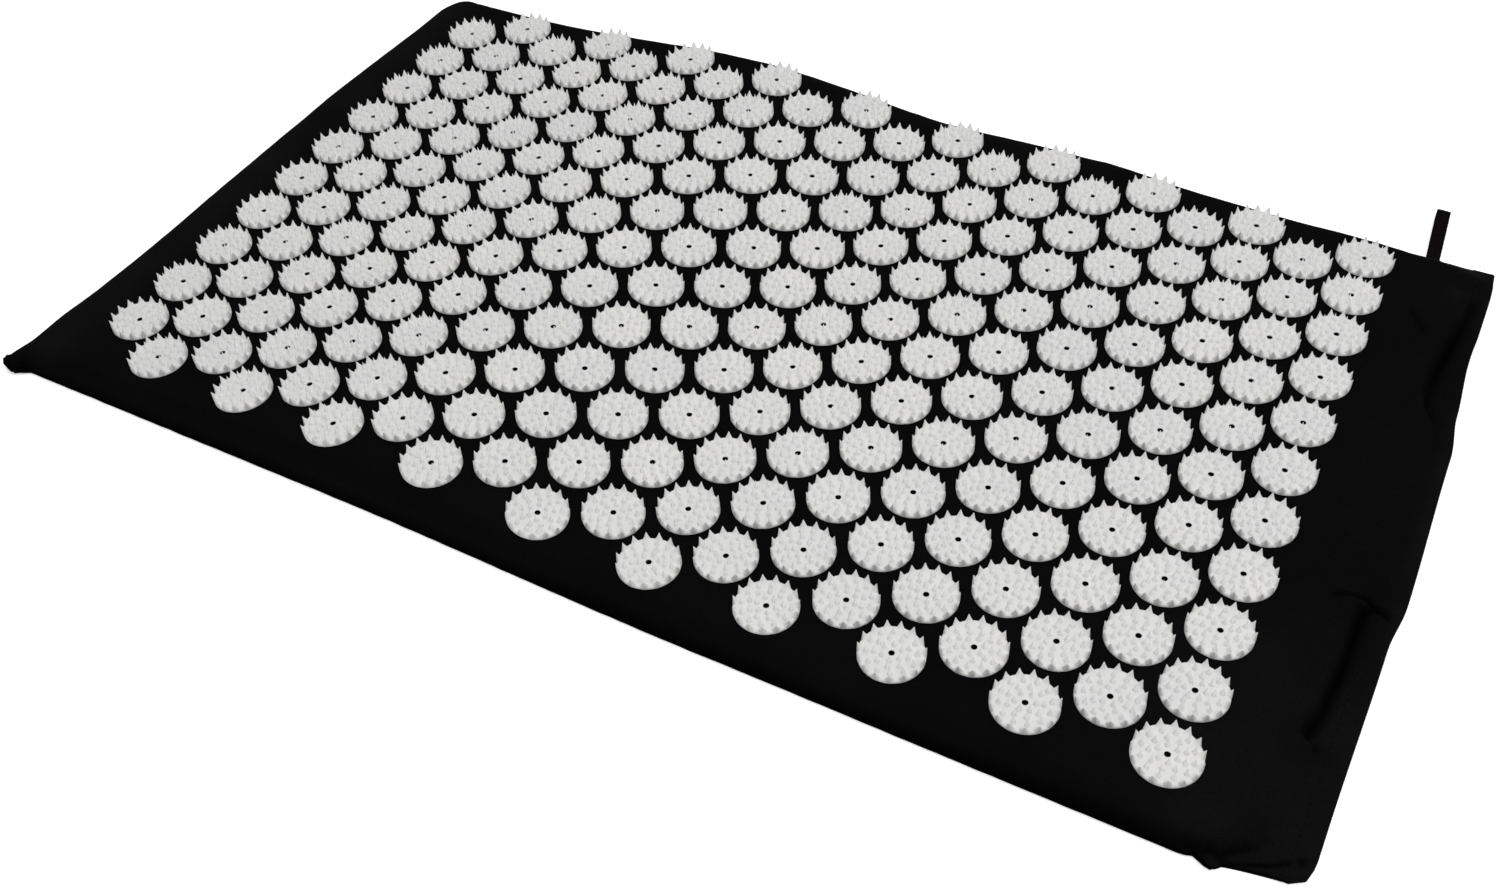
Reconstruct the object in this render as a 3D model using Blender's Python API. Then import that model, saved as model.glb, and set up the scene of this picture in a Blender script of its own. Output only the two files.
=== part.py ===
"""Acupressure mat: spiked plastic discs on a cotton cover round a foam pad.

Metres, +Z up. The origin is the middle of the cover's underside. +X runs along the mat
towards the mouth of the cover, and +Y points to the long edge with the hanging loop.
"""

import math

import bmesh
import bpy
from mathutils import Matrix, Vector

# Cotton cover and foam pad
COVER_LENGTH = 0.740
COVER_WIDTH = 0.440
CLOTH = 0.001
FOAM_THICKNESS = 0.015
SHOULDER_RUN = 0.015
SHOULDER_STEPS = 3
FOAM_SIDE_GAP = 0.001
CLEARANCE = 0.0003
TWIST_SHARE = 0.0001

# Wave that folding has left across the pad
HUMP_RISE = 0.0095
HUMP_X = -0.1086
HUMP_REACH = 0.110
DIP_DEPTH = 0.0042
DIP_X = 0.016
DIP_REACH = 0.0526

# Lattice of discs: every other column has one disc less and stands half a pitch off
ROW_PITCH = 0.0376
COLUMN_STEP = 0.0322
MOUTH_BORDER = 0.0723
FAR_BORDER = 0.050
SIDE_BORDER = 0.031
SEPARATE_COLUMNS = 3

# One disc: a thin plate with rings of spikes round a hole
DISC_GAP = 0.0047
PLATE_THICKNESS = 0.0016
SPIKE_HEIGHT = 0.005
SPIKE_COUNTS = (15, 12, 9, 6)
HOLE_DIAMETER = 0.003
HOLE_LAND = 0.002
RIM_SPIKE_SHARE = 0.1
RING_SPIKE_SHARE = 0.5

# Plain disc that is moulded on with the panel: spikes and plate in one low block
BLOCK_SIDES = 8
BLOCK_TOP_SHARE = 0.88
BLOCK_SINK = 0.0004

# Mouth of the cover: a flap that hook-and-loop pads hold down on the lower lip
FLAP_LENGTH = 0.038
FLAP_SLOPE_RUN = 0.009
FLAP_SLOPE_STEPS = 5
HEM_WIDTH = 0.011
HEM_THICKNESS = 0.0008
PAD_MARGIN = 0.001
PAD_LENGTH = 0.095
PAD_THICKNESS = 0.0015
FRONT_PAD_INSET = 0.072
BACK_PAD_INSET = 0.033

# Hanging loop: a doubled tape with an open eye
LOOP_REACH = 0.046
LOOP_WIDTH = 0.0086
LOOP_EYE = 0.006
LOOP_TAPE = 0.0009
LOOP_LEAN_SHARE = 0.09
LOOP_STEPS = 6

# Worked out from the sizes above
SEAM_Z = CLOTH + CLEARANCE
COVER_HEIGHT = SEAM_Z + FOAM_THICKNESS + CLEARANCE + CLOTH
MOUTH_X = COVER_LENGTH / 2 - FLAP_LENGTH
FIRST_COLUMN_X = COVER_LENGTH / 2 - MOUTH_BORDER
COLUMNS = int((COVER_LENGTH - MOUTH_BORDER - FAR_BORDER) / COLUMN_STEP) + 1
LONG_COLUMN = int((COVER_WIDTH - 2 * SIDE_BORDER) / ROW_PITCH) + 1
DISC_RADIUS = (min(ROW_PITCH, math.hypot(COLUMN_STEP, ROW_PITCH / 2)) - DISC_GAP) / 2
HOLE_RADIUS = HOLE_DIAMETER / 2
SPIKE_RING_WIDTH = (DISC_RADIUS - HOLE_RADIUS - HOLE_LAND) / len(SPIKE_COUNTS)
LOOP_PAD_Z = CLOTH + CLEARANCE
HOOK_PAD_Z = LOOP_PAD_Z + PAD_THICKNESS + CLEARANCE
FLAP_UNDERSIDE_Z = HOOK_PAD_Z + PAD_THICKNESS + CLEARANCE
FLAP_Z = FLAP_UNDERSIDE_Z + CLOTH
FLAP_SLOPE_X = MOUTH_X + CLEARANCE + CLOTH
PAD_START_X = FLAP_SLOPE_X + FLAP_SLOPE_RUN + PAD_MARGIN
PAD_END_X = COVER_LENGTH / 2 - HEM_WIDTH - PAD_MARGIN
LOOP_ROOT_Y = COVER_WIDTH / 2 + CLEARANCE
LOOP_ROOT_Z = 2 * (CLEARANCE + LOOP_TAPE)
LOOP_X = MOUTH_X - LOOP_WIDTH / 2


def clear_scene():
    for item in list(bpy.data.objects):
        bpy.data.objects.remove(item, do_unlink=True)


def surface(name, colour, roughness):
    """A plain material: a colour, a roughness and no metal."""
    made = bpy.data.materials.new(name)
    made.use_nodes = True
    shader = made.node_tree.nodes["Principled BSDF"]
    shader.inputs["Base Color"].default_value = (*colour, 1)
    shader.inputs["Roughness"].default_value = roughness
    shader.inputs["Metallic"].default_value = 0
    return made


def place(name, mesh, material, matrix=None):
    """Put a mesh into the scene as a named piece."""
    item = bpy.data.objects.new(name, mesh)
    bpy.context.scene.collection.objects.link(item)
    if not mesh.materials:
        mesh.materials.append(material)
    if matrix:
        item.matrix_world = matrix
    return item


def finish_mesh(name, bm):
    """Turn a body's faces outwards and store it as a mesh."""
    bmesh.ops.recalc_face_normals(bm, faces=bm.faces)
    mesh = bpy.data.meshes.new(name)
    bm.to_mesh(mesh)
    bm.free()
    return mesh


def box(name, low, high, material):
    """A strip or pad of cloth between two opposite corners."""
    low = Vector(low)
    high = Vector(high)
    bm = bmesh.new()
    size = Matrix.Diagonal((*(high - low), 1))
    bmesh.ops.create_cube(bm, size=1, matrix=Matrix.Translation((low + high) / 2) @ size)
    return place(name, finish_mesh(name, bm), material)


def add_cell(bm, corners):
    """Fill one cell of a grid. A twisted cell is split, the same way on both sides."""
    first, second, third, fourth = (corner.co for corner in corners)
    normal = (second - first).cross(fourth - first).normalized()
    if abs((third - first).normalized().dot(normal)) < TWIST_SHARE:
        bm.faces.new(corners)
        return
    bm.faces.new((corners[0], corners[1], corners[2]))
    bm.faces.new((corners[0], corners[2], corners[3]))


def border(grid):
    """The points round the edge of a grid, in order."""
    first_side = [row[0] for row in grid]
    last_side = [row[-1] for row in reversed(grid[:-1])]
    return first_side + grid[-1][1:] + last_side + grid[0][-2:0:-1]


def slab(name, top, bottom):
    """A closed body between two grids of points with the same rows and columns."""
    bm = bmesh.new()
    skins = []
    for points in (top, bottom):
        skin = [[bm.verts.new(point) for point in row] for row in points]
        for row, next_row in zip(skin, skin[1:]):
            for spot in range(1, len(row)):
                add_cell(bm, (row[spot - 1], next_row[spot - 1], next_row[spot], row[spot]))
        skins.append(border(skin))
    upper, lower = skins
    for corner in range(len(upper)):
        before = corner - 1
        bm.faces.new((lower[before], lower[corner], upper[corner], upper[before]))
    return finish_mesh(name, bm)


# Shape of the covered pad

def crown(x):
    """Height of the cover's top away from its edges."""
    hump = HUMP_RISE * math.exp(-(((x - HUMP_X) / HUMP_REACH) ** 2))
    dip = DIP_DEPTH * math.exp(-(((x - DIP_X) / DIP_REACH) ** 2))
    return COVER_HEIGHT + hump - dip


def shoulder(inset, step):
    """How far in from the edge a step of the rounded shoulder is, and its share of the rise."""
    angle = math.pi / 2 * step / SHOULDER_STEPS
    return inset + (SHOULDER_RUN - inset) * (1 - math.cos(angle)), math.sin(angle)


def column_x(column):
    return FIRST_COLUMN_X - column * COLUMN_STEP


def dome(inset, first_step, base_z, drop, end_gap):
    """Grid of points on a layer of the pad, flat in strips so that each disc lies flush.

    The layer is inset from the cover's outline and lies a drop below its top. Its lines run
    from the far end to the mouth, with one halfway between each two columns of discs.
    """
    steps = [shoulder(inset, step) for step in range(first_step, SHOULDER_STEPS + 1)]
    lines = [(distance - COVER_LENGTH / 2, rise) for distance, rise in steps]
    strip_edges = [column_x(column - 0.5) for column in range(COLUMNS, -1, -1)]
    lines += [(x, 1) for x in strip_edges]
    lines.append((MOUTH_X - end_gap, 1))
    sides = [(distance - COVER_WIDTH / 2, rise) for distance, rise in steps]
    sides += [(-y, rise) for y, rise in reversed(sides)]
    grid = []
    for x, end_rise in lines:
        height = crown(x) - drop - base_z
        grid.append([(x, y, base_z + height * end_rise * side_rise) for y, side_rise in sides])
    return grid


def foam_core(foam):
    """Rounded foam slab that fills the cover up to the mouth."""
    top = dome(CLOTH + FOAM_SIDE_GAP, 1, SEAM_Z, CLOTH + CLEARANCE, CLEARANCE)
    bottom = [[(x, y, SEAM_Z) for x, y, z in row] for row in top]
    place("foam_core", slab("foam_core", top, bottom), foam)


def cover_bottom_panel(cotton):
    """Flat lower panel. Past the mouth it is the lower lip."""
    low = (-COVER_LENGTH / 2, -COVER_WIDTH / 2, 0)
    high = (COVER_LENGTH / 2, COVER_WIDTH / 2, CLOTH)
    box("cover_bottom_panel", low, high, cotton)


def cover_top_panel(cotton, plastic):
    """Upper panel, drawn down over the foam to the seam, with the far columns of discs."""
    outside = dome(0, 0, SEAM_Z, 0, 0)
    inside = dome(CLOTH, 0, SEAM_Z, CLOTH, 0)
    mesh = slab("cover_top_panel", outside, inside)
    panel = place("cover_top_panel", mesh, cotton)
    mesh.materials.append(plastic)
    blocks = place("far_disc_blocks", disc_blocks(), plastic)
    blocks.hide_render = True
    blocks.display_type = "WIRE"
    union = panel.modifiers.new("Far discs", "BOOLEAN")
    union.operation = "UNION"
    union.solver = "EXACT"
    union.object = blocks


# Discs

def disc_rows(column):
    """Places across the mat of the discs in a column."""
    count = LONG_COLUMN - column % 2
    return [(row - (count - 1) / 2) * ROW_PITCH for row in range(count)]


def disc_seat(column, y, lift):
    """Where a disc lies: on its strip of the panel, tilted with it, and a lift above it."""
    far_z = crown(column_x(column + 0.5))
    near_z = crown(column_x(column - 0.5))
    tilt = math.atan2(far_z - near_z, COLUMN_STEP)
    seat = Matrix.Translation((column_x(column), y, (far_z + near_z) / 2))
    return seat @ Matrix.Rotation(tilt, 4, "Y") @ Matrix.Translation((0, 0, lift))


def ring(bm, count, radius, height, turn=0):
    """Points evenly round a circle."""
    made = []
    for number in range(count):
        angle = 2 * math.pi * (number + turn) / count
        spot = (radius * math.cos(angle), radius * math.sin(angle), height)
        made.append(bm.verts.new(spot))
    return made


def sectors(outer, inner):
    """Cut the band between two rings into one sector for each gap of the inner ring."""
    ratio = len(outer) / len(inner)
    for number in range(len(inner)):
        first = round(number * ratio)
        last = round((number + 1) * ratio)
        arc = [outer[spot % len(outer)] for spot in range(first, last + 1)]
        yield arc + [inner[(number + 1) % len(inner)], inner[number]]


def spiked_disc():
    """Plate with a hole and rings of spikes that rise from one another's feet.

    Each spike is a pyramid on its sector of a ring. The outermost spikes stand at the rim,
    where their outer faces carry on the plate's edge.
    """
    bm = bmesh.new()
    rim = ring(bm, SPIKE_COUNTS[0], DISC_RADIUS, PLATE_THICKNESS)
    foot = ring(bm, SPIKE_COUNTS[0], DISC_RADIUS, 0)
    for near in range(len(rim)):
        before = near - 1
        bm.faces.new((foot[before], foot[near], rim[near], rim[before]))
    outer = rim
    for number, count in enumerate(SPIKE_COUNTS):
        outer_radius = DISC_RADIUS - number * SPIKE_RING_WIDTH
        inner = ring(bm, count, outer_radius - SPIKE_RING_WIDTH, PLATE_THICKNESS)
        share = RIM_SPIKE_SHARE if number == 0 else RING_SPIKE_SHARE
        tip_radius = outer_radius - share * SPIKE_RING_WIDTH
        tips = ring(bm, count, tip_radius, PLATE_THICKNESS + SPIKE_HEIGHT, turn=0.5)
        for tip, base in zip(tips, sectors(outer, inner)):
            for corner in range(len(base)):
                bm.faces.new((base[corner - 1], base[corner], tip))
        outer = inner
    hole_top = ring(bm, SPIKE_COUNTS[-1], HOLE_RADIUS, PLATE_THICKNESS)
    hole_foot = ring(bm, SPIKE_COUNTS[-1], HOLE_RADIUS, 0)
    for base in sectors(outer, hole_top):
        bm.faces.new(base)
    for base in sectors(foot, hole_foot):
        bm.faces.new(list(reversed(base)))
    for near in range(len(hole_top)):
        before = near - 1
        bm.faces.new((hole_foot[near], hole_foot[before], hole_top[before], hole_top[near]))
    return finish_mesh("spiked_disc", bm)


def separate_discs(plastic):
    """The columns next to the mouth, each disc a piece of its own."""
    mesh = spiked_disc()
    for column in range(min(SEPARATE_COLUMNS, COLUMNS)):
        for row, y in enumerate(disc_rows(column)):
            name = f"disc_column_{column + 1}_row_{row + 1:02d}"
            place(name, mesh, plastic, disc_seat(column, y, CLEARANCE))


def disc_blocks():
    """The other columns as plain blocks, a little sunk so that they join the panel."""
    bm = bmesh.new()
    height = PLATE_THICKNESS + SPIKE_HEIGHT
    for column in range(SEPARATE_COLUMNS, COLUMNS):
        for y in disc_rows(column):
            foot = ring(bm, BLOCK_SIDES, DISC_RADIUS, -BLOCK_SINK, turn=0.5)
            top = ring(bm, BLOCK_SIDES, DISC_RADIUS * BLOCK_TOP_SHARE, height, turn=0.5)
            for near in range(BLOCK_SIDES):
                before = near - 1
                bm.faces.new((foot[before], foot[near], top[near], top[before]))
            bm.faces.new(top)
            bm.faces.new(list(reversed(foot)))
            bmesh.ops.transform(bm, matrix=disc_seat(column, y, 0), verts=foot + top)
    return finish_mesh("far_disc_blocks", bm)


# Mouth of the cover

def flap_height(x):
    """Height of the flap's top: it falls off the foam's end and then lies flat."""
    share = min(max((x - FLAP_SLOPE_X) / FLAP_SLOPE_RUN, 0), 1)
    return FLAP_Z + (COVER_HEIGHT - FLAP_Z) * (1 + math.cos(math.pi * share)) / 2


def end_flap(cotton):
    """Upper lip of the mouth, hinged along the foam's end."""
    reaches = [FLAP_SLOPE_RUN * step / FLAP_SLOPE_STEPS for step in range(FLAP_SLOPE_STEPS + 1)]
    lines = [MOUTH_X + CLEARANCE, *(FLAP_SLOPE_X + reach for reach in reaches), COVER_LENGTH / 2]
    bm = bmesh.new()
    edges = []
    for y in (-COVER_WIDTH / 2, COVER_WIDTH / 2):
        edges.append([bm.verts.new((x, y, flap_height(x))) for x in lines])
    front, back = edges
    for near in range(len(lines) - 1):
        bm.faces.new((front[near], front[near + 1], back[near + 1], back[near]))
    mesh = bpy.data.meshes.new("end_flap")
    bm.to_mesh(mesh)
    bm.free()
    flap = place("end_flap", mesh, cotton)
    cloth = flap.modifiers.new("Cloth", "SOLIDIFY")
    cloth.thickness = CLOTH
    cloth.offset = -1
    cloth.use_even_offset = True
    return flap


def hem(name, low_z, cotton):
    """Turned edge of a lip of the mouth."""
    low = (COVER_LENGTH / 2 - HEM_WIDTH, -COVER_WIDTH / 2, low_z)
    high = (COVER_LENGTH / 2, COVER_WIDTH / 2, low_z + HEM_THICKNESS)
    return box(name, low, high, cotton)


def pads(kind, low_z, nylon):
    """Two pads of one side of the hook-and-loop tape."""
    front_y = -COVER_WIDTH / 2 + FRONT_PAD_INSET
    back_y = COVER_WIDTH / 2 - BACK_PAD_INSET - PAD_LENGTH
    made = []
    for side, start_y in (("front", front_y), ("back", back_y)):
        low = (PAD_START_X, start_y, low_z)
        high = (PAD_END_X, start_y + PAD_LENGTH, low_z + PAD_THICKNESS)
        made.append(box(f"{kind}_pad_{side}", low, high, nylon))
    return made


# Hanging loop

def hanging_loop(tape):
    """Doubled tape whose two ends are held in the seam beside the mouth."""
    radius = LOOP_EYE / 2 + LOOP_TAPE
    end_y = LOOP_ROOT_Y + LOOP_REACH - radius
    middle_z = CLEARANCE + radius
    angles = [math.pi * (step / LOOP_STEPS - 0.5) for step in range(LOOP_STEPS + 1)]
    skins = []
    for inset in (0, LOOP_TAPE):
        bend = [(end_y + (radius - inset) * math.cos(angle),
                 middle_z + (radius - inset) * math.sin(angle)) for angle in angles]
        path = [(LOOP_ROOT_Y, CLEARANCE + inset), *bend, (LOOP_ROOT_Y, LOOP_ROOT_Z - inset)]
        skins.append([loop_line(y, z) for y, z in path])
    return place("hanging_loop", slab("hanging_loop", *skins), tape)


def loop_line(y, z):
    """Line across the tape, moved aside as the loop leans."""
    middle_x = LOOP_X - LOOP_LEAN_SHARE * (y - LOOP_ROOT_Y)
    return [(middle_x - LOOP_WIDTH / 2, y, z), (middle_x + LOOP_WIDTH / 2, y, z)]


def hinge(name, location, pieces):
    """Empty on a hinge's axis that carries the pieces which turn about it."""
    axis = bpy.data.objects.new(name, None)
    bpy.context.scene.collection.objects.link(axis)
    axis.location = location
    bpy.context.view_layer.update()
    for piece in pieces:
        piece.parent = axis
        piece.matrix_parent_inverse = axis.matrix_world.inverted()


def build():
    clear_scene()
    cotton = surface("black cotton", (0.012, 0.012, 0.014), 0.85)
    tape = surface("black tape", (0.014, 0.013, 0.013), 0.7)
    nylon = surface("black nylon", (0.016, 0.016, 0.017), 0.6)
    plastic = surface("white plastic", (0.86, 0.86, 0.84), 0.4)
    foam = surface("pale foam", (0.72, 0.7, 0.62), 0.95)

    foam_core(foam)
    cover_bottom_panel(cotton)
    cover_top_panel(cotton, plastic)
    separate_discs(plastic)

    hem("lip_hem", CLOTH + CLEARANCE, cotton)
    pads("loop", LOOP_PAD_Z, nylon)
    flap = end_flap(cotton)
    flap_hem = hem("flap_hem", FLAP_UNDERSIDE_Z - CLEARANCE - HEM_THICKNESS, cotton)
    hook_pads = pads("hook", HOOK_PAD_Z, nylon)
    hinge("flap_axis", (MOUTH_X + CLEARANCE, 0, COVER_HEIGHT), [flap, flap_hem, *hook_pads])

    loop = hanging_loop(tape)
    hinge("loop_axis", (LOOP_X, LOOP_ROOT_Y, LOOP_ROOT_Z), [loop])


build()
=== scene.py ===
"""Looks of an acupressure mat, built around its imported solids.

Metres, +Z up. The origin is the middle of the cover's underside. +X runs to the mouth of the
cover and +Y to the edge with the hanging loop. The cotton cover, the foam, the pads at the
mouth, the loop and all the spiked discs are modelled here, in the places of their solids.
"""

import math

import bmesh
import bpy
from mathutils import Matrix, Vector, noise


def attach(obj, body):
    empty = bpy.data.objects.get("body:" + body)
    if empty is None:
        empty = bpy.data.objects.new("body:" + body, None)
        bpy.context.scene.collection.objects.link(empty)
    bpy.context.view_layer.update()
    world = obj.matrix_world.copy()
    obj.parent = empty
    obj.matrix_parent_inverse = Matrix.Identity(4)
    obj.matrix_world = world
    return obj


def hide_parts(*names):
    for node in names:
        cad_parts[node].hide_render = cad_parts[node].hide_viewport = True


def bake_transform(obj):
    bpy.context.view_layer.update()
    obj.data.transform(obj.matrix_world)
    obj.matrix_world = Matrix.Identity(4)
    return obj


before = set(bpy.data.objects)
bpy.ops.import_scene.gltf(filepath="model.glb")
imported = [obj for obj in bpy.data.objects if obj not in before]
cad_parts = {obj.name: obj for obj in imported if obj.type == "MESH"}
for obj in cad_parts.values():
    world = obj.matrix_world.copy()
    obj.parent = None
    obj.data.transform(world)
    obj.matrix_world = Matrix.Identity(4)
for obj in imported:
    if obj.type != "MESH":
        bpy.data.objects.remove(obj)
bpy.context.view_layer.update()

# Sizes that the solids have
HALF_LENGTH = 0.370
HALF_WIDTH = 0.220
SEAM_Z = 0.0013
COVER_HEIGHT = 0.0176
MOUTH_X = 0.332
HUMP_RISE, HUMP_X, HUMP_REACH = 0.0095, -0.1086, 0.110
DIP_DEPTH, DIP_X, DIP_REACH = 0.0042, 0.016, 0.0526
COLUMNS, LONG_COLUMN = 20, 11
COLUMN_STEP, ROW_PITCH, FIRST_COLUMN_X = 0.0322, 0.0376, 0.2977

# Discs as they are seen
DISC_RADIUS, HOLE_RADIUS = 0.0160, 0.0015
PLATE_THICKNESS, RIM_SPIKE_HEIGHT, SPIKE_HEIGHT = 0.0016, 0.0039, 0.0045
DISC_LIFT, RIM_ROUND = 0.0003, 0.0013
# Spikes in each ring, the ring's reach as a share of the disc, and its turn in degrees
SPIKE_RINGS = ((15, 1.0, 0), (12, 0.742, 0), (9, 0.515, -10), (6, 0.300, -10))
# Half of a spike's foot across its ring and along it, then its levels: height and width shares
RIM_SPIKE = (0.0018, 0.0023)
INNER_SPIKE = (0.0015, 0.0015)
RIM_LEVELS = ((0.0, 1.0), (0.12, 0.78), (0.50, 0.42), (1.0, 0.08))
INNER_LEVELS = ((0.0, 1.0), (0.16, 0.72), (0.45, 0.38), (1.0, 0.07))
DISC_TURN = 137.5
# Painted light on the inner spikes: it covers them inside this share of the disc and rises to full
# at this share of their height.
TIP_LIGHT_REACH, TIP_LIGHT_LEVEL = 0.86, 0.38
STRIP_SINK = 0.0001

# Cloth as it is seen
CLOTH, LOWER_LIFT = 0.0007, 0.0002
SHOULDER_RUN, SHOULDER_STEPS = 0.015, 12
SHOULDER_POWER, BACK_SLUMP = 0.94, 0.8
FIELD_STEP_X, FIELD_STEP_Y = 0.0032, 0.0037
LIP_FIELD_X, LIP_STEP = 0.300, 0.0012
CREASE_SPAN = (-0.068, -0.046)
HEM_REACH, HEM_STEP, HEM_RADIUS, HEM_TURNS = 0.0105, 0.0021, 0.0009, 5
HEM_TUCK, LIP_SETBACK = 0.0055, 0.0004
LIP_Z, LIP_DROP, HEM_RISE, PAD_RISE = 0.0039, 0.0016, 0.0005, 0.0018
FALL_X = 0.3305
GENTLE_POWER, CORNER_POWER, STEEP_POWER = 0.92, 1.4, 3.8
# Places across the mat where the lip changes towards its front end and its back corner
FRONT_END, BACK_CORNER, LIP_SIDES = (-0.180, -0.2185), (0.185, 0.210), (0.195, 0.2185)
DISC_FIELD_X, DISC_FIELD_Y = (-0.331, 0.316), (-0.2045, 0.2045)
CREASE_X = (0.3405, 0.3650)

# Outline of the cloth
FRONT_INSET, FRONT_TAPER, TAPER_X = 0.0066, 0.130, 0.333
FRONT_STEPS = ((-0.150, 0.090, -0.0039), (0.3305, 0.3325, 0.0013))
FRONT_HUMPS = ((0.120, 0.060, 0.0003), (0.3200, 0.0024, 0.0013), (0.3280, 0.0030, -0.0018))
BACK_INSET = 0.0029
BACK_STEPS = ((-0.100, 0.200, -0.0011), (0.330, 0.345, -0.0008))
BACK_HUMPS = ((0.3277, 0.0035, -0.0010),)
PULL_STEPS = ((0.180, 0.130, 0.0008), (-0.110, -0.290, 0.0066))
END_INSET, END_ZONE = 0.0030, (-0.320, -0.356)
END_STEPS = ((0.060, 0.190, 0.0045), (0.187, 0.213, 0.0085), (-0.150, -0.185, -0.0025))
END_HUMPS = ((-0.100, 0.045, 0.0012),)
LIP_END_X, LIP_BULGE, LIP_BULGE_Y = 0.3684, 0.0005, (0.155, 0.203, 0.008)
LIP_END_STEPS = (
    (0.060, -0.046, 0.0016), (-0.045, -0.075, -0.0026), (-0.080, -0.180, -0.0010),
    (0.062, 0.092, -0.0030), (0.085, 0.140, -0.0028),
)
# Cut corners of the lips: side, start and slope
LIP_CORNERS = ((1, 0.2045, 0.08), (-1, 0.1997, 0.23), (-1, 0.2075, 1.3))
# Sags of the pad: depth, then start and end along the mat and across it
SAGS = ((0.0034, (0.120, 0.250), (0.100, 0.205)), (0.0020, (0.270, 0.328), (0.165, 0.205)))
# Where the pads hold the cloth down: low end, high end and softness
HELD_SPANS = ((-0.146, -0.058, 0.006), (0.084, 0.186, 0.012))
# Where the fall from the foam ends, at the front pad, at the back pad and between them
FOOT_FRONT = (0.3530, ((-0.095, -0.125, -0.0022), (-0.125, -0.150, -0.0055)))
FOOT_BACK = (0.3488, ((0.100, 0.176, 0.0072),))
FOOT_FREE = (0.3610, ((*FRONT_END, -0.0290), (0.190, 0.210, 0.0050)))
# Pinched corners at the closed end: place, reach, pull along and across the mat, and lift
EARS = (
    (-0.3700, -0.2130, 0.0062, -0.0072, -0.0034, 0.0036),
    (-0.3640, -0.2130, 0.0022, 0.0, -0.0048, 0.0),
    (-0.3430, 0.2100, 0.0060, 0.0, 0.0016, 0.0),
)
EAR_TOP, EAR_TOP_SHARE = 0.006, 0.4
# Pulled folds at the ends of the seams: start, end, depth, reach and share of painted shade
FOLDS = (
    (0.3110, -0.2172, 0.3215, -0.2158, 0.0010, 0.0016, 1.0),
    (0.3240, -0.2160, 0.3317, -0.2134, 0.0024, 0.0018, 1.0),
    (0.3312, -0.2116, 0.3404, -0.2039, 0.0012, 0.0016, 0.8),
    (0.3404, -0.2039, 0.3461, -0.1984, 0.0007, 0.0015, 0.4),
    (0.3321, -0.2157, 0.3502, -0.2082, 0.0006, 0.0011, 0.8),
    (0.3502, -0.2082, 0.3657, -0.1989, 0.0006, 0.0011, 0.8),
    (0.3270, 0.1520, 0.3370, 0.1360, 0.0006, 0.0016, 0.6),
    (0.3300, 0.2165, 0.3400, 0.2060, 0.0005, 0.0022, 0.2),
    (-0.3640, -0.2121, -0.3440, -0.2128, 0.0010, 0.0024, 0.4),
    (-0.3440, -0.2128, -0.3250, -0.2128, 0.0006, 0.0026, 0.3),
    (-0.3570, -0.2000, -0.3480, -0.1700, 0.0006, 0.0040, 0.0),
)

# Seam roll, which is thicker at the tip of the pinched corner
SEAM_RADIUS, SEAM_STEP, SEAM_END_X, CORNER_CUT = 0.00105, 0.003, 0.3290, 0.0015
TIP_X, TIP_Y, TIP_REACH = -0.3760, -0.2160, 0.0040

# Pads, stitches and tape
SIDES = ("front", "back")
PAD_SPANS = ((-0.148, -0.053), (0.092, 0.187))
PAD_LOW_X, PAD_HIGH_X = 0.3433, 0.358
PAD_THICKNESS, PAD_BORDER = 0.0015, 0.0014
PILE_PAD_Z, HOOKED_PAD_Z = 0.0013, 0.0031
PILE_STITCH_Z, HOOKED_STITCH_Z = 0.0026, 0.0033
STITCH_RADIUS, STITCH_PITCH, STITCH_LIFT = 0.00018, 0.0034, 0.00008
LIP_STITCH_Y, LINE_STEP = (-0.196, 0.200), 0.004
UPPER_STITCH_INSET, LOWER_STITCH_INSET, PAD_STITCH_INSET = 0.0088, 0.0092, 0.0008
TAPE_ROOT_Y, TAPE_REACH, TAPE_WIDTH, TAPE_THICKNESS = 0.2203, 0.0437, 0.0076, 0.0009
TAPE_X, TAPE_LEAN, TAPE_TUCK, TAPE_STEPS, TAPE_COLUMNS = 0.3278, -0.075, 0.0040, 12, 9
TAPE_LOW_Z, TAPE_TOP_Z, EYE_RADIUS, EYE_REACH, EYE_Z = 0.00095, 0.0019, 0.0028, 0.0033, 0.00355

# Foam
FOAM_INSET, FOAM_END_X, FOAM_STEP = 0.004, 0.3300, 0.006
FOAM_SIDE_GAP, FOAM_TOP_GAP, FOAM_LOW_Z, FOAM_EDGE_Z = 0.0035, 0.0016, 0.0016, 0.0022

# Light and camera: each lamp's place, size in metres and power in watts
LAMPS = (
    ("key", (-0.8, 1.2, 2.4), 2.4, 14),
    ("top", (0.5, -0.35, 1.6), 1.2, 15),
    ("fill", (1.6, -1.8, 2.2), 2.4, 3),
)
WORLD_LIGHT = 0.38
FLOOR_SIZE, FLOOR_Z = 5, -0.0001
FLOOR_GLOW, FLOOR_GLOW_REACH = (0.50, 1.0), (0.9, 2.2)
CAMERA_SPOT = (0.33783, -0.59474, 0.61428)
CAMERA_RIGHT = (0.882179, 0.469151, -0.040724)
CAMERA_UP = (-0.313563, 0.649726, 0.692484)
CAMERA_LENS, CAMERA_SENSOR = 38.337, 36


# Bench tools

def alone(item):
    """Make one object the only selected one, and the active one."""
    bpy.ops.object.select_all(action="DESELECT")
    item.select_set(True)
    bpy.context.view_layer.objects.active = item


def add(primitive, **sizes):
    """Add a primitive with nothing else selected."""
    bpy.ops.object.select_all(action="DESELECT")
    primitive(**sizes)
    return bpy.context.active_object


def settle(item, name, material=None):
    """Name a piece, put its place into its mesh and give it its material."""
    alone(item)
    bpy.ops.object.transform_apply(location=True, rotation=True, scale=True)
    item.name = name
    item.data.name = name
    if material:
        item.data.materials.clear()
        item.data.materials.append(material)
    return item


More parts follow.
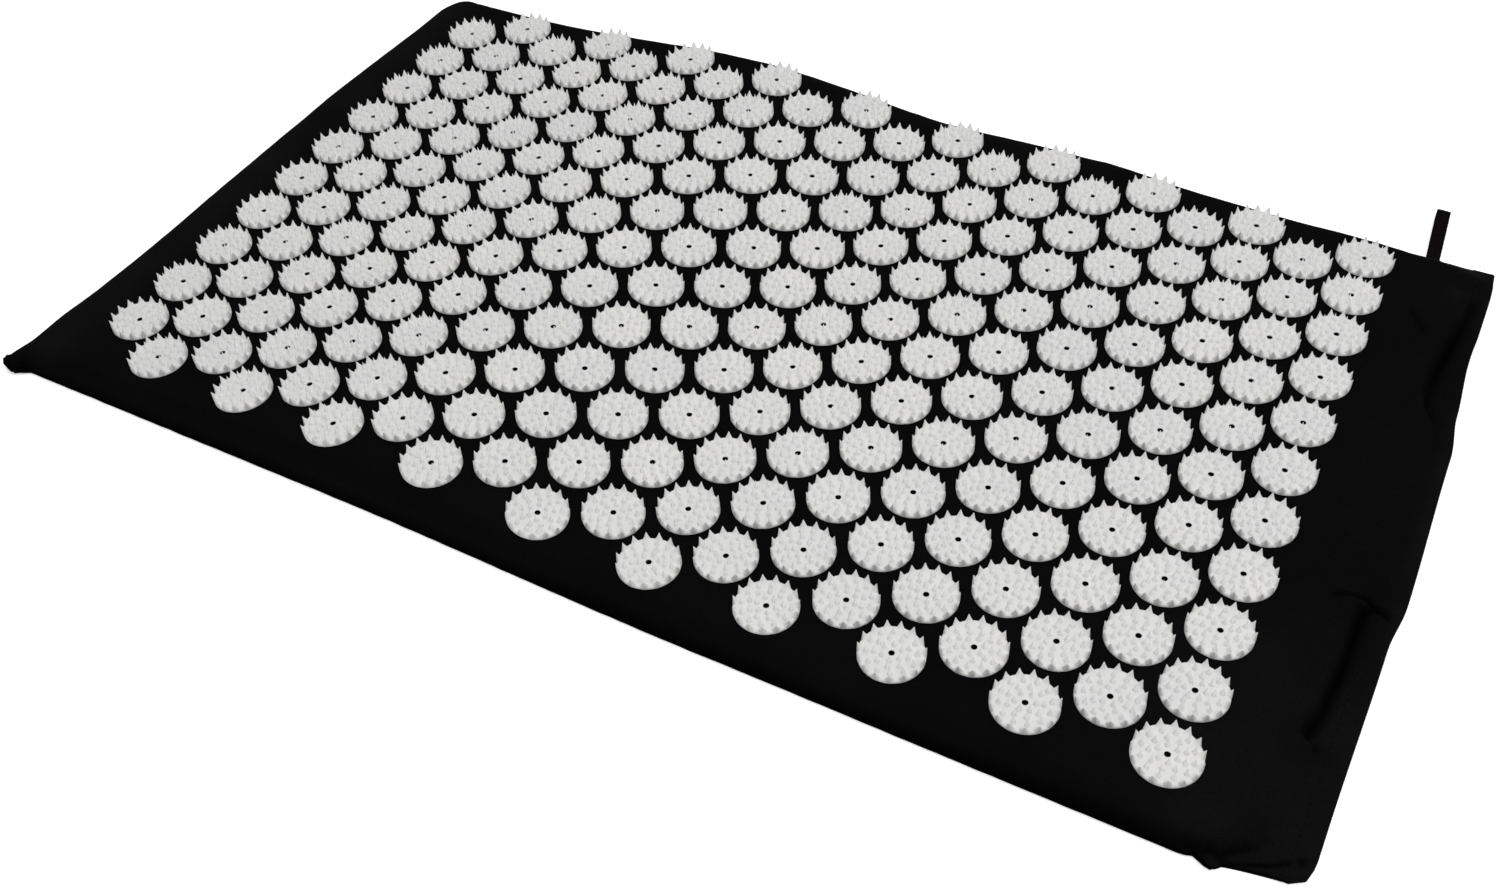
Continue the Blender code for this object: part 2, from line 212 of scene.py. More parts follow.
def pick_faces(item, test):
    """In edit mode, select the faces that pass a test on centre and normal."""
    bm = bmesh.from_edit_mesh(item.data)
    for face in bm.faces:
        face.select_set(bool(test(face.calc_center_median(), face.normal)))
    bm.select_flush_mode()
    bmesh.update_edit_mesh(item.data)


def pick_edges(item, test):
    """In edit mode, select the edges whose two ends pass a test."""
    bpy.ops.mesh.select_mode(type="EDGE")
    bm = bmesh.from_edit_mesh(item.data)
    for edge in bm.edges:
        edge.select_set(all(test(vert.co) for vert in edge.verts))
    bmesh.update_edit_mesh(item.data)


def finish_with(item, kind, **values):
    """Add a modifier with these values and apply it."""
    alone(item)
    made = item.modifiers.new(kind.title(), kind)
    for key, value in values.items():
        setattr(made, key, value)
    bpy.ops.object.modifier_apply(modifier=made.name)
    return item


def round_off(item, angle=40):
    alone(item)
    bpy.ops.object.shade_smooth_by_angle(angle=math.radians(angle))
    return item


def copies(item, places, name, material=None):
    """One object from a copy of a mesh at each place. The first object is used up."""
    made = []
    for place in places:
        mesh = item.data.copy()
        mesh.transform(place)
        made.append(bpy.data.objects.new(name, mesh))
        bpy.context.scene.collection.objects.link(made[-1])
    return join(made, name, material)


def join(parts, name, material=None):
    bpy.ops.object.select_all(action="DESELECT")
    for part in parts:
        part.select_set(True)
    bpy.context.view_layer.objects.active = parts[0]
    if len(parts) > 1:
        bpy.ops.object.join()
    return settle(parts[0], name, material)


def drop(item):
    bpy.data.objects.remove(item, do_unlink=True)


def outwards(item):
    """Turn all the faces of a closed piece outwards."""
    alone(item)
    bpy.ops.object.mode_set(mode="EDIT")
    bpy.ops.mesh.select_all(action="SELECT")
    bpy.ops.mesh.normals_make_consistent(inside=False)
    bpy.ops.object.mode_set(mode="OBJECT")


def grid(rows, columns):
    """A grid to be shaped, with the row and column of each of its points."""
    item = add(
        bpy.ops.mesh.primitive_grid_add,
        x_subdivisions=rows - 1, y_subdivisions=columns - 1, size=2,
    )
    spots = []
    for vert in item.data.vertices:
        row = round((vert.co.x + 1) / 2 * (rows - 1))
        column = round((vert.co.y + 1) / 2 * (columns - 1))
        spots.append((row, column))
    return item, spots


def lay_uv(mesh, places):
    """Pattern coordinates for each point."""
    layer = mesh.uv_layers.active or mesh.uv_layers.new(name="UVMap")
    for loop in mesh.loops:
        layer.data[loop.index].uv = places[loop.vertex_index]


def lay_values(mesh, name, values):
    """One value for each point, which a material reads by this name."""
    mesh.attributes.new(name, "FLOAT", "POINT")
    for spot, value in zip(mesh.attributes[name].data, values):
        spot.value = value


# Shape of the cloth

def ease(value, start, end):
    """0 before start, 1 after end and smooth between."""
    share = min(max((value - start) / (end - start), 0), 1)
    return share * share * (3 - 2 * share)


def swell(value, centre, reach):
    """1 at the centre, falling softly to nothing on both sides."""
    return math.exp(-(((value - centre) / reach) ** 2))


def steps(value, rows):
    """Sum of eases, each with its start, end and amount."""
    return sum(amount * ease(value, start, end) for start, end, amount in rows)


def humps(value, rows):
    """Sum of swells, each with its centre, reach and amount."""
    return sum(amount * swell(value, centre, reach) for centre, reach, amount in rows)


def span(value, low, high, edge):
    """1 between low and high, 0 outside, with soft ends."""
    return ease(value, low - edge, low + edge) * (1 - ease(value, high - edge, high + edge))


def grain(x, y, pitch, seed=0):
    return noise.noise(Vector((x / pitch, y / pitch, seed)))


def wave(x):
    """Height of the pad's top, as the solids have it at the edges of the disc strips."""
    hump = HUMP_RISE * swell(x, HUMP_X, HUMP_REACH)
    return COVER_HEIGHT + hump - DIP_DEPTH * swell(x, DIP_X, DIP_REACH)


def crown(x):
    """The same, flat in each strip that carries a column of discs."""
    strip = (FIRST_COLUMN_X - x) / COLUMN_STEP + 0.5
    low = min(max(math.floor(strip), 0), COLUMNS - 1)
    share = min(max(strip - low, 0), 1)
    near_x = FIRST_COLUMN_X - (low - 0.5) * COLUMN_STEP
    near, far = wave(near_x), wave(near_x - COLUMN_STEP)
    if x > near_x or strip > COLUMNS:
        return wave(x)
    return near + (far - near) * share - STRIP_SINK


def front_edge(x):
    """How far the front seam, and past it the lip's edge, lies from the middle line."""
    inset = FRONT_INSET + steps(x, FRONT_STEPS) + humps(x, FRONT_HUMPS)
    return HALF_WIDTH - inset - FRONT_TAPER * max(x - TAPER_X, 0)


def pulled_in(x):
    """How far the back edge is drawn in towards the closed end."""
    return steps(x, PULL_STEPS)


def back_edge(x):
    """How far the back seam, and past it the lip's edge, lies from the middle line."""
    inset = BACK_INSET + pulled_in(x) + steps(x, BACK_STEPS) + humps(x, BACK_HUMPS)
    return HALF_WIDTH - inset


def end_shift(x, y):
    """How far the closed end lies in from its straight line."""
    return (END_INSET + steps(y, END_STEPS) + humps(y, END_HUMPS)) * ease(x, *END_ZONE)


def sag(x, y):
    """How far the pad sinks towards the back corner at the mouth."""
    return sum(depth * ease(x, *along) * ease(y, *aside) for depth, along, aside in SAGS)


def slump(x, y):
    """How straight the rounded edge falls: a plain slope at the back corner of the mouth."""
    return SHOULDER_POWER * (1 + BACK_SLUMP * ease(x, 0.130, 0.200) if y > 0 else 1)


def drift(x, y):
    """How far a disc lies from its place in the even lattice, as fitted to the holes seen."""
    u, v = x / 0.300, y / 0.190
    along = 0.25 + 0.5 * v ** 3 - 0.8 * u * u - u * v * (1.2 + 0.8 * u + 2.1 * v)
    aside = 0.3 + 2.2 * v + v ** 3 - 0.5 * u * u + 0.7 * u * v - 6.3 * u * u * v
    return along * 0.001, aside * 0.001


def mouth_edge(y):
    """Where the lips end. Each pad draws the cloth in a little, and the corners are cut."""
    x = LIP_END_X + steps(y, LIP_END_STEPS) + LIP_BULGE * span(y, *LIP_BULGE_Y)
    return x - sum(slope * max(side * y - start, 0) for side, start, slope in LIP_CORNERS)


def at_pads(y):
    """Where the pads hold the lips apart."""
    return sum(span(y, low, high, 0.004) for low, high in PAD_SPANS)


def held(y):
    """Where the pads hold the cloth down, so that it falls steeply from the foam."""
    return sum(span(y, *held_span) for held_span in HELD_SPANS)


def foot_at(y):
    """Where the fall from the foam ends."""
    pad_x, pad_steps = FOOT_FRONT if y < 0 else FOOT_BACK
    free_x, free_steps = FOOT_FREE
    at_pad, free = pad_x + steps(y, pad_steps), free_x + steps(y, free_steps)
    return free + (at_pad - free) * held(y)


def lip_height(x, y):
    """Upper side of the upper lip, where it lies flat."""
    end = mouth_edge(y)
    foot = foot_at(y)
    hem = ease(x, end - 0.0125 - 0.018 * ease(y, *BACK_CORNER), end - 0.0085)
    over_pad = ((foot + 0.0055, 0.0030, 0.0019), (foot, 0.0014, -0.0007))
    under_stitches = ((end - UPPER_STITCH_INSET, 0.0008, -0.0003),)
    height = LIP_Z + HEM_RISE * hem + PAD_RISE * at_pads(y) + held(y) * humps(x, over_pad)
    height += humps(x, under_stitches)
    return height + 0.0005 * grain(x, y, 0.022, 3) + 0.0002 * grain(x, y, 0.008, 4)


def crease_place(x):
    """Where the crease across the lip lies."""
    return -0.0537 - 0.5 * abs(x - 0.3525) - 0.4 * max(0.3500 - x, 0)


def fold_across(x, y):
    """The crease that runs in from the edge at the end of the front pad, with its ridge."""
    middle = crease_place(x)
    ridge, valley = (middle + 0.005, 0.0035, 0.0013), (middle, 0.0019, -0.0024)
    return span(x, *CREASE_X, 0.0035) * humps(y, (ridge, valley))


def upper_height(x, y, side_rise):
    """Upper side of the cover: foam, the fall at its end and the upper lip."""
    start = FALL_X - 0.0065 * ease(y, *FRONT_END)
    foot = foot_at(y)
    top = crown(min(x - drift(x, y)[0], MOUTH_X)) - sag(x, y)
    full = SEAM_Z + (top - SEAM_Z) * side_rise
    if x <= start:
        return full
    share = min((x - start) / (foot - start), 1)
    gentle = (1 + math.cos(math.pi * share ** GENTLE_POWER)) / 2
    gentle += (1 - share ** CORNER_POWER - gentle) * ease(y, *BACK_CORNER)
    steep = 1 - share ** STEEP_POWER
    fall = gentle + (steep - gentle) * held(y)
    flat = lip_height(x, y) - LIP_DROP * ease(abs(y), *LIP_SIDES) + fold_across(x, y)
    return flat + (full - flat) * fall


def unevenness(x, y, side_rise, end_rise):
    """Small relief of the cloth where no disc holds it flat."""
    free = 1 - span(x, *DISC_FIELD_X, 0.004) * span(y, *DISC_FIELD_Y, 0.004)
    wall = 4 * side_rise * (1 - side_rise) + 4 * end_rise * (1 - end_rise)
    broad = 0.0005 * grain(x, y, 0.045, 1) + 0.00022 * grain(x, y, 0.014, 2)
    pucker = 0.0007 * wall * grain(x, y * 0.15, 0.0075, 5) * (0.4 + abs(grain(x, y, 0.06, 6)))
    return free * broad * min(side_rise * end_rise * 3, 1) + pucker


def ears(point):
    """Shift a point with the closed end, and pull it out where a corner is pinched."""
    x, y, z = point
    x += end_shift(x, y)
    moved = Vector((x, y, z))
    share = 1 if z < EAR_TOP else EAR_TOP_SHARE
    for ear_x, ear_y, reach, pull_x, pull_y, lift in EARS:
        near = swell(math.hypot(x - ear_x, y - ear_y), 0, reach)
        moved += near * Vector((pull_x, pull_y, lift * share))
    return moved


def fold_lines(x, y):
    """Depth, share of painted shade, nearness and place along it, for each of the folds."""
    for x0, y0, x1, y1, depth, reach, dark in FOLDS:
        along = Vector((x1 - x0, y1 - y0))
        share = (Vector((x - x0, y - y0)).dot(along)) / along.length_squared
        inside = min(max(share, 0), 1)
        aside = math.hypot(x - x0 - inside * along.x, y - y0 - inside * along.y)
        yield depth, dark, swell(aside, 0, reach), inside


def fold_depth(x, y):
    """How far the pulled folds sink the cloth. Each grows shallower towards its end."""
    return sum(depth * near * (1 - 0.6 * inside) for depth, _, near, inside in fold_lines(x, y))


def painted_shade_at(x, y, z):
    """How much painted shade darkens the cloth, 0 to 1: in the folds, at the foot of the fall where
    the pads hold it down, in the crease across the lip and on the front wall where the cloth turns
    down.
    """
    dark = max(share * near for _, share, near, _ in fold_lines(x, y))
    # Painted shade at the foot of the steep fall where the pads hold the cloth down.
    band = held(y) * swell(x, foot_at(y) - 0.0006, 0.0026)
    if y > 0:
        band *= 0.55 + 0.45 * span(y, 0.112, 0.150, 0.014)
    across = span(x, 0.3385, 0.3650, 0.0030) * swell(y, crease_place(x), 0.0018)
    # Painted shade on the front wall, fading out towards its top.
    wall_top = 0.0115 + 0.0025 * ease(x, 0.200, 0.300) + 0.003 * ease(x, -0.315, -0.340)
    wall = 0.9 * ease(y, -0.203, -0.208) * (1 - ease(x, 0.318, 0.326))
    return max(dark, band, across, wall * (1 - ease(z, 0.0035, wall_top)))


def shoulder(step):
    """Share of the run still to go, and share of the rise, at a step of the rounded edge."""
    angle = math.pi / 2 * step / SHOULDER_STEPS
    return math.cos(angle), math.sin(angle)


def rise_at(inward, power=SHOULDER_POWER):
    """The rise at a share of the run, counted inwards from the seam."""
    return math.sin(math.acos((1 - inward) ** (1 / power))) ** power


def even(low, high, step):
    """Places from low to high, as near to this step as goes evenly."""
    count = max(round(abs(high - low) / step), 1)
    return [low + (high - low) * number / count for number in range(count + 1)]


def across():
    """Lines across the mat: side, cosine and sine of the turn over the edge, and place."""
    edges = [(share, rise) for share, rise in map(shoulder, range(SHOULDER_STEPS + 1))]
    inner = HALF_WIDTH - SHOULDER_RUN
    lines = [(-1, share, rise, None) for share, rise in edges[:-1]]
    places = even(-inner, CREASE_SPAN[0], FIELD_STEP_Y) + even(*CREASE_SPAN, FIELD_STEP_Y / 2)[1:]
    places += even(CREASE_SPAN[1], inner, FIELD_STEP_Y)[1:]
    lines += [(0, 0, 1, y) for y in places]
    return lines + [(1, share, rise, None) for share, rise in reversed(edges[:-1])]


def along():
    """Lines along the mat, each with its x, its share of the rise and its place in the hem."""
    lines = []
    for step in range(SHOULDER_STEPS):
        share, rise = shoulder(step)
        share, rise = share ** SHOULDER_POWER, rise ** SHOULDER_POWER
        lines.append((-HALF_LENGTH + SHOULDER_RUN * (1 - share), rise, None))
    lines += [(x, 1, None) for x in even(-HALF_LENGTH + SHOULDER_RUN, LIP_FIELD_X, FIELD_STEP_X)]
    lines += [(x, 1, None) for x in even(LIP_FIELD_X, HALF_LENGTH, LIP_STEP)[1:]]
    return lines + hem_lines()


def hem_lines():
    """Round the edge of a lip and back under it."""
    turn = [math.pi * step / HEM_TURNS for step in range(1, HEM_TURNS + 1)]
    back = even(0, HEM_REACH, HEM_STEP)[1:]
    return [(None, 1, ("turn", angle)) for angle in turn] + [(None, 1, ("back", x)) for x in back]


def side_place(x, line):
    """Distance of a line from the middle of the mat at x, with its side."""
    side, share, _, y = line
    inner = HALF_WIDTH - SHOULDER_RUN
    at_front = side < 0 or (y or 0) < 0
    edge = front_edge(x) if at_front else back_edge(x)
    start = inner if at_front else inner - 0.8 * pulled_in(x)
    if side:
        return side * (start + (edge - start) * share ** slump(x, side))
    return y * start / inner


def to_lip(x, end):
    """Past the foam's end, spread the lines evenly up to where the lip ends."""
    if x <= MOUTH_X:
        return x
    return MOUTH_X + (x - MOUTH_X) * (end - MOUTH_X) / (HALF_LENGTH - MOUTH_X)


def upper_point(along_line, line):
    """A point on the outside of the upper cloth."""
    x, end_rise, hem = along_line
    y = side_place(HALF_LENGTH if hem else x, line)
    side_rise = line[2] ** slump(HALF_LENGTH if hem else x, line[0])
    end = mouth_edge(y)
    if hem:
        top = upper_height(end, y, side_rise)
        kind, amount = hem
        if kind == "turn":
            x = end + HEM_RADIUS * math.sin(amount)
            return Vector((x, y, top - HEM_RADIUS * (1 - math.cos(amount))))
        x = end - amount
        return Vector((x, y, upper_height(x, y, side_rise) - 2 * HEM_RADIUS))
    x = to_lip(x, end)
    z = upper_height(x, y, side_rise)
    z = SEAM_Z + (z - SEAM_Z) * end_rise
    z += unevenness(x, y, side_rise, end_rise) - fold_depth(x, y)
    return ears((x, y, z))


def lower_point(along_line, line):
    """A point on the upper side of the lower cloth, which lies on the floor."""
    x, _, hem = along_line
    y = side_place(HALF_LENGTH if hem else x, line)
    end = mouth_edge(y) - LIP_SETBACK
    base = CLOTH + LOWER_LIFT
    if hem:
        kind, amount = hem
        if kind == "turn":
            x = end + HEM_RADIUS * math.sin(amount)
            y *= 1 - HEM_TUCK * amount / math.pi
            return Vector((x, y, base + HEM_RADIUS * (1 - math.cos(amount))))
        return Vector((end - amount, y * (1 - HEM_TUCK), base + 2 * HEM_RADIUS))
    return ears((to_lip(x, end), y, base))


def cloth(name, place_of, material):
    """A sheet of cloth: a grid whose points are moved to their places, then thickened."""
    rows, columns = along(), across()
    item, spots = grid(len(rows), len(columns))
    places = [[place_of(row, column) for column in columns] for row in rows]
    for vert, (row, column) in zip(item.data.vertices, spots):
        vert.co = places[row][column]
    lay_pattern(item.data, spots, places)
    item.data.update()
    settle(item, name, material)
    finish_with(item, "SOLIDIFY", thickness=CLOTH, offset=-1, use_even_offset=False)
    for polygon in item.data.polygons:
        polygon.use_smooth = True
    return item


def lay_pattern(mesh, spots, places):
    """Pattern coordinates along the threads, the paleness of wear and painted light, and the
    painted shade in folds and on the front wall.
    """
    run = lengths([row[len(row) // 2] for row in places])
    reach = lengths(places[len(places) // 2])
    lay_uv(mesh, [(run[row], reach[column]) for row, column in spots])
    lay_values(mesh, "wear_and_light", [wear_and_light(*vert.co[:2]) for vert in mesh.vertices])
    lay_values(mesh, "painted_shade", [painted_shade_at(*vert.co) for vert in mesh.vertices])


def lengths(line):
    """Distance along a line of points, at each point."""
    run = [0.0]
    for before, after in zip(line, line[1:]):
        run.append(run[-1] + math.dist(before, after))
    return run


def wear_and_light(x, y):
    """How pale the cloth is: along its ends and its back edge, partly wear and partly painted
    light, and at the near corner painted light.
    """
    # Ends and back edge: wear, with painted light.
    edge = max(ease(x, -0.318, -0.350), ease(y, 0.200, 0.212), ease(x, 0.358, 0.368))
    # Near corner: painted light.
    edge = max(edge, 0.9 * ease(x, 0.240, 0.330) * ease(y, -0.040, -0.150))
    return edge * (1 + 0.8 * grain(x, y, 0.03, 9))


# Materials

def material(name, roughness, **sockets):
    """A new material, with these values in its shader."""
    made = bpy.data.materials.new(name)
    made.use_nodes = True
    shader = made.node_tree.nodes["Principled BSDF"]
    shader.inputs["Roughness"].default_value = roughness
    for socket, value in sockets.items():
        shader.inputs[socket.replace("_", " ")].default_value = value
    return made


class Bench:
    """Short ways to add and join the nodes of a material or of the world."""

    def __init__(self, owner):
        self.tree = owner.node_tree
        self.shader = self.tree.nodes.get("Principled BSDF")

    def feed(self, target, value):
        """Link a socket to an input, or put a plain value into it."""
        if isinstance(value, bpy.types.NodeSocket):
            self.tree.links.new(value, target)
        else:
            target.default_value = value

    def node(self, kind, **values):
        """A new node. What starts with in_ goes to the input of that name or number."""
        made = self.tree.nodes.new(kind)
        for key, value in values.items():
            if key.startswith("in_"):
                self.feed(made.inputs[int(key[3:]) if key[3:].isdigit() else key[3:]], value)
            else:
                setattr(made, key, value)
        return made

    def math(self, operation, *values):
        made = self.node("ShaderNodeMath", operation=operation)
        for socket, value in zip(made.inputs, values):
            self.feed(socket, value)
        return made.outputs[0]

    def place(self):
        return self.node("ShaderNodeTexCoord").outputs["Object"]

    def pattern(self):
        return self.node("ShaderNodeUVMap").outputs[0]

    def value(self, name):
        """What lay_values has put at each point."""
        return self.node("ShaderNodeAttribute", attribute_name=name).outputs["Fac"]

    def noise(self, where, scale, detail):
        made = self.node("ShaderNodeTexNoise", in_Vector=where, in_Scale=scale, in_Detail=detail)
        return made.outputs["Fac"]

    def cells(self, where, scale):
        made = self.node("ShaderNodeTexVoronoi", in_Vector=where, in_Scale=scale)
        return made.outputs["Distance"]

    def spread(self, value, low, high, start=0.0, end=1.0):
        """Lay the range from start to end over the one from low to high."""
        made = self.node(
            "ShaderNodeMapRange", in_0=value, in_1=start, in_2=end, in_3=low, in_4=high,
        )
        return made.outputs[0]

    def seen(self, other_ray):
        """1 for the camera's rays and for one other kind of ray, 0 for the rest."""
        path = self.node("ShaderNodeLightPath")
        return self.math("MAXIMUM", path.outputs["Is Camera Ray"], path.outputs[other_ray])

    def ramp(self, factor, *stops):
        made = self.node("ShaderNodeValToRGB", in_0=factor)
        elements = made.color_ramp.elements
        while len(elements) < len(stops):
            elements.new(0.5)
        for element, (position, colour) in zip(elements, stops):
            element.position = position
            element.color = (*colour, 1)
        return made.outputs["Color"]

    def colour(self, socket):
        self.feed(self.shader.inputs["Base Color"], socket)

    def bump(self, height, distance, strength):
        made = self.node(
            "ShaderNodeBump", in_Height=height, in_Distance=distance, in_Strength=strength,
        )
        self.feed(self.shader.inputs["Normal"], made.outputs["Normal"])


def threads(bench, where, pitch):
    """Plain weave: over and under by turns, with uneven threads."""
    bend = bench.node("ShaderNodeTexNoise", in_Vector=where, in_Scale=180).outputs["Color"]
    wander = bench.node("ShaderNodeVectorMath", operation="SCALE", in_0=bend, in_Scale=0.00035)
    moved = bench.node(
        "ShaderNodeVectorMath", operation="ADD", in_0=where, in_1=wander.outputs[0],
    )
    split = bench.node("ShaderNodeSeparateXYZ", in_0=moved.outputs[0])
    waves = []
    for socket in split.outputs[:2]:
        waves.append(bench.math("SINE", bench.math("MULTIPLY", socket, 2 * math.pi / pitch)))
    return bench.math("MULTIPLY", *waves)


def make_cotton():
    """Plain weave, paler with wear and painted light, and darker with painted shade in its folds
    and on its front wall.
    """
    made = material(
        "black cotton", 0.92, Specular_IOR_Level=0.012, Sheen_Weight=0.0035, Sheen_Roughness=0.5,
    )
    bench = Bench(made)
    where = bench.pattern()
    weave = threads(bench, where, 0.0011)
    slub = bench.noise(where, 420, 3)
    patch = bench.noise(where, 16, 3)
    tone = bench.math("MULTIPLY_ADD", weave, 0.16, 0.20)
    # Paleness from wear and painted light.
    for part, share in ((slub, 0.25), (patch, 0.30), (bench.value("wear_and_light"), 0.22)):
        tone = bench.math("ADD", tone, bench.math("MULTIPLY", part, share))
    # Painted shade in the folds and on the front wall.
    tone = bench.math("SUBTRACT", tone, bench.math("MULTIPLY", bench.value("painted_shade"), 0.55))
    bench.colour(bench.ramp(
        tone, (0.0, (0.0003, 0.0003, 0.0003)), (0.25, (0.0014, 0.0014, 0.0015)),
        (0.55, (0.0033, 0.0034, 0.0036)), (1.0, (0.0078, 0.0080, 0.0086)),
    ))
    bench.bump(bench.math("ADD", weave, bench.math("MULTIPLY", slub, 1.4)), 0.00009, 0.7)
    return made


def make_plastic():
    """Milky plastic, with painted light that makes the inner spikes paler towards their tips."""
    made = material(
        "white plastic", 0.5, Specular_IOR_Level=0.22, Subsurface_Weight=0.55,
        Subsurface_Scale=0.0011, Subsurface_Radius=(1.0, 0.95, 0.85),
    )
    bench = Bench(made)
    where = bench.place()
    shade = bench.noise(where, 26, 1)
    body = bench.ramp(shade, (0.3, (0.690, 0.690, 0.686)), (0.7, (0.730, 0.724, 0.712)))
    # Painted light: towards their tips the inner spikes blend to a paler colour.
    blend = bench.node(
        "ShaderNodeMixRGB", in_0=bench.value("tip_light"), in_1=body, in_2=(0.86, 0.86, 0.858, 1),
    )
    bench.colour(blend.outputs[0])
    mottle = bench.noise(where, 900, 3)
    bench.feed(bench.shader.inputs["Roughness"], bench.spread(mottle, 0.44, 0.60))
    bench.bump(mottle, 0.00004, 0.4)
    return made


def make_tape():
    """Ribs across the tape, with fuzz on them."""
    made = material("black tape", 0.8, Specular_IOR_Level=0.02)
    bench = Bench(made)
    where = bench.pattern()
    run = bench.node("ShaderNodeSeparateXYZ", in_0=where).outputs[0]
    ribs = bench.math("SINE", bench.math("MULTIPLY", run, 2 * math.pi / 0.0009))
    fuzz = bench.noise(where, 600, 2)
    tone = bench.math("ADD", bench.math("MULTIPLY", ribs, 0.2), fuzz)
    bench.colour(bench.ramp(
        tone, (0.2, (0.0018, 0.0013, 0.0014)), (0.9, (0.0082, 0.0056, 0.0061)),
    ))
    bench.bump(bench.math("ADD", ribs, fuzz), 0.00012, 0.8)
    return made


def make_nylon(name, pitch, depth):
    """Hook or pile surface: close rows of small tufts."""
    made = material(name, 0.6, Specular_IOR_Level=0.2)
    bench = Bench(made)
    cells = bench.cells(bench.place(), 1 / pitch)
    bench.colour(bench.ramp(
        cells, (0.1, (0.016, 0.016, 0.017)), (0.7, (0.0035, 0.0035, 0.004)),
    ))
    bench.bump(bench.math("SUBTRACT", 1.0, cells), depth, 0.9)
    return made


def make_thread():
    """Twisted thread."""
    made = material("black thread", 0.8, Specular_IOR_Level=0.02)
    bench = Bench(made)
    twist = bench.noise(bench.place(), 2200, 1)
    bench.colour(bench.ramp(
        twist, (0.3, (0.0012, 0.0012, 0.0013)), (0.8, (0.0042, 0.0043, 0.0046)),
    ))
    bench.bump(twist, 0.00006, 0.6)
    return made


def make_foam():
    """Open-cell foam: pores of two sizes on a pale ground."""
    made = material("pale foam", 0.95, Specular_IOR_Level=0.1)
    bench = Bench(made)
    where = bench.place()
    cells = bench.cells(where, 900)
    patch = bench.noise(where, 30, 3)
    pores = bench.math("ADD", cells, bench.math("MULTIPLY", patch, 0.5))
    bench.colour(bench.ramp(
        pores, (0.15, (0.42, 0.38, 0.28)), (0.6, (0.66, 0.62, 0.50)), (1.0, (0.74, 0.70, 0.58)),
    ))
    bench.bump(cells, 0.0006, 0.8)
    return made


cotton = make_cotton()
plastic = make_plastic()
tape = make_tape()
hooks = make_nylon("black hooks", 0.0013, 0.0005)
pile = make_nylon("black pile", 0.0009, 0.0003)
thread = make_thread()
foam = make_foam()


# Cover

upper = cloth("cover_upper", upper_point, cotton)
lower = cloth("cover_lower", lower_point, cotton)


def seam_roll():
    """Turned seam that runs round the cover from one end of the mouth to the other."""
    low_x = CORNER_CUT - HALF_LENGTH
    front = front_edge(-HALF_LENGTH) - CORNER_CUT
    back = back_edge(-HALF_LENGTH) - CORNER_CUT
    path = [(x, -front_edge(x)) for x in even(SEAM_END_X, low_x, SEAM_STEP)]
    path += [(-HALF_LENGTH, y) for y in even(-front, back, SEAM_STEP)]
    path += [(x, back_edge(x)) for x in even(low_x, SEAM_END_X, SEAM_STEP)]
    curve = bpy.data.curves.new("seam", "CURVE")
    curve.dimensions = "3D"
    line = curve.splines.new("POLY")
    line.points.add(len(path) - 1)
    for knot, (x, y) in zip(line.points, path):
        point = ears((x, y, SEAM_Z))
        outward = Vector((point.x, point.y, 0)).normalized()
        swing = 0.00012 * grain(point.x, point.y, 0.006, 7)
        knot.co = (*(point + outward * swing), 1)
        tip = swell(math.hypot(point.x - TIP_X, point.y - TIP_Y), 0, TIP_REACH)
        knot.radius = 1 + 0.9 * tip + 0.18 * grain(point.x, point.y, 0.009, 8)
    curve.bevel_depth = SEAM_RADIUS
    curve.bevel_resolution = 2
    curve.use_fill_caps = True
    item = bpy.data.objects.new("seam", curve)
    bpy.context.scene.collection.objects.link(item)
    alone(item)
    bpy.ops.object.convert(target="MESH")
    item = settle(bpy.context.active_object, "cover_seam", cotton)
    spots = [vert.co for vert in item.data.vertices]
    lay_uv(item.data, [(spot.x + spot.z, spot.y - spot.z) for spot in spots])
    # The front of the seam roll gets painted shade; elsewhere it is made paler by wear and painted
    # light.
    at_front = [ease(spot.y, -0.190, -0.205) for spot in spots]
    lay_values(item.data, "wear_and_light", [1 - share for share in at_front])
    lay_values(item.data, "painted_shade", [0.8 * share for share in at_front])
    return round_off(item, 60)


seam = seam_roll()


# Foam

def foam_pad():
    """Foam slab: a grid raised to the pad's shape, then extruded down to a flat underside."""
    rows = even(-HALF_LENGTH + FOAM_INSET, FOAM_END_X, FOAM_STEP)
    columns = even(-HALF_WIDTH + FOAM_INSET, HALF_WIDTH - FOAM_INSET, FOAM_STEP)
    item, spots = grid(len(rows), len(columns))
    for vert, (row, column) in zip(item.data.vertices, spots):
        x, y = rows[row], columns[column]
        limit = (front_edge(x) if y < 0 else back_edge(x)) - FOAM_SIDE_GAP
        y = min(max(y, -limit), limit)
        side = min(max((limit + 0.0012 - abs(y)) / SHOULDER_RUN, 0), 1)
        end = min(max((x + HALF_LENGTH - 0.0025) / SHOULDER_RUN, 0), 1)
        side_rise, end_rise = rise_at(side, slump(x, y)), rise_at(end)
        top = SEAM_Z + (upper_height(x, y, side_rise) - SEAM_Z) * end_rise
        top -= fold_depth(x, y) + FOAM_TOP_GAP - 0.00015 * grain(x, y, 0.012, 11)
        vert.co = (x + end_shift(x, y), y, max(top, FOAM_EDGE_Z))
    alone(item)
    bpy.ops.object.mode_set(mode="EDIT")
    bpy.ops.mesh.select_all(action="SELECT")
    bpy.ops.mesh.remove_doubles(threshold=0.0006)
    bpy.ops.mesh.extrude_region_move(TRANSFORM_OT_translate={"value": (0, 0, -0.001)})
    bpy.ops.transform.resize(value=(1, 1, 0), center_override=(0, 0, FOAM_LOW_Z))
    bpy.ops.object.mode_set(mode="OBJECT")
    outwards(item)
    settle(item, "foam_slab", foam)
    return round_off(item, 50)


slab = foam_pad()


# Discs

